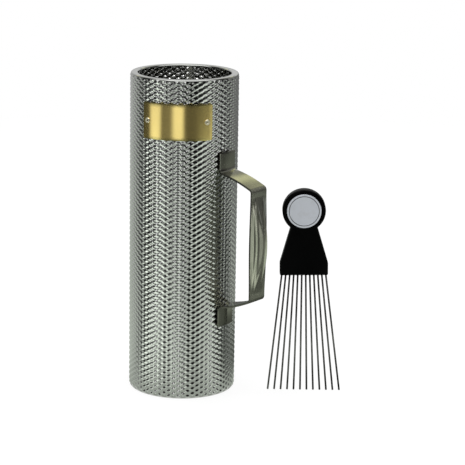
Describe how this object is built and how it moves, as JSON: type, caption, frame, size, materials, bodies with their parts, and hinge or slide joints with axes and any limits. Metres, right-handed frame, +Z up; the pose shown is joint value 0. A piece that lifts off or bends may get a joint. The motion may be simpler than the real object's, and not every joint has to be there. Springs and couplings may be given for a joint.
{
  "type": "guira with scraper",
  "caption": "Metal guira: an open tube of embossed sheet with turned-in rims, a bent strap handle and a riveted badge plate, with the fan-tined wire scraper that plays it standing beside it.",
  "frame": {"origin": "middle of the underside of the whole set's box, on the surface that it stands on", "axes": "+Z up along the tube; +X the way the handle points from the tube; +Y completes the frame"},
  "size_m": [0.2048, 0.1494, 0.341],
  "materials": {
    "stainless_sheet": "bright embossed stainless sheet",
    "steel_strap": "bright pressed steel strap",
    "brass_plate": "polished brass sheet, bare of lettering",
    "brass_rivet": "bright hollow rivet",
    "black_plastic": "moulded black plastic",
    "silver_label": "satin silver disc with one thin black ring",
    "steel_wire": "drawn spring wire"
  },
  "bodies": {
    "guira": {"scraping_tube": "stainless_sheet", "handle": "steel_strap", "badge_plate": "brass_plate", "badge_rivet_left": "brass_rivet", "badge_rivet_right": "brass_rivet"},
    "scraper": {"scraper_head": "black_plastic", "scraper_label": "silver_label", "tine_01": "steel_wire", "tine_02": "steel_wire", "tine_03": "steel_wire", "tine_04": "steel_wire", "tine_05": "steel_wire", "tine_06": "steel_wire", "tine_07": "steel_wire", "tine_08": "steel_wire", "tine_09": "steel_wire", "tine_10": "steel_wire", "tine_11": "steel_wire", "tine_12": "steel_wire"}
  },
  "joints": [
    {"name": "scraper_lift", "type": "slide", "parent": "guira", "child": "scraper", "axis": [0, 0, 1], "range_m": [0, 0.25]}
  ]
}
